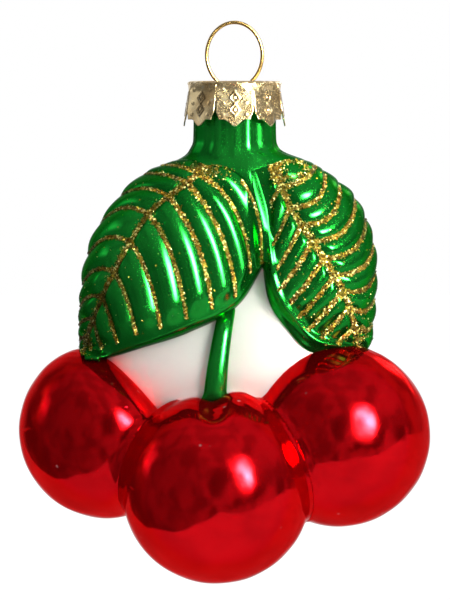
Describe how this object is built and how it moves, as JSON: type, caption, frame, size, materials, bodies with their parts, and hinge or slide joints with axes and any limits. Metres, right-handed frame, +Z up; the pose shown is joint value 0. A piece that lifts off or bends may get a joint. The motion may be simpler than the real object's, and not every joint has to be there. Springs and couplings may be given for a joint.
{
  "type": "hanging glass ornament",
  "caption": "Hollow blown glass cluster of cherries with ribbed leaves, glued glitter lines, a stamped cap and a wire loop to hang it by.",
  "frame": {"origin": "inside top of the hanger wire's loop, where the ornament hangs", "axes": "+Z up along the neck, -Y to the front, +X to the right as seen from the front"},
  "size_m": [0.0737, 0.0456, 0.1005],
  "materials": {
    "red_lacquer": "silvered glass under clear red lacquer, mirror gloss",
    "green_lacquer": "silvered glass under clear green lacquer, mirror gloss",
    "white_lacquer": "glass under a pearl white lacquer, satin",
    "gold_glitter": "glued metallic flakes",
    "cap_metal": "stamped sheet with a pale gold plating",
    "gold_wire": "bright drawn wire"
  },
  "bodies": {
    "hanger": {"hanger_wire": "gold_wire"},
    "cap": {"crown_cap": "cap_metal"},
    "glass": {"glass_neck": "green_lacquer", "white_body": "white_lacquer", "centre_stem": "green_lacquer", "left_leaf_front": "green_lacquer", "right_leaf_front": "green_lacquer", "left_leaf_back": "green_lacquer", "right_leaf_back": "green_lacquer", "left_glitter_front": "gold_glitter", "right_glitter_front": "gold_glitter", "left_glitter_back": "gold_glitter", "right_glitter_back": "gold_glitter", "left_cherry": "red_lacquer", "centre_cherry": "red_lacquer", "right_cherry": "red_lacquer"}
  },
  "joints": [
    {"name": "cap_rock", "type": "hinge", "parent": "hanger", "child": "cap", "pos_m": [0, 0, -0.0104], "axis": [1, 0, 0], "range_deg": [-8, 8]},
    {"name": "glass_pull_off", "type": "slide", "parent": "cap", "child": "glass", "axis": [0, 0, -1], "range_m": [0, 0.02]}
  ]
}
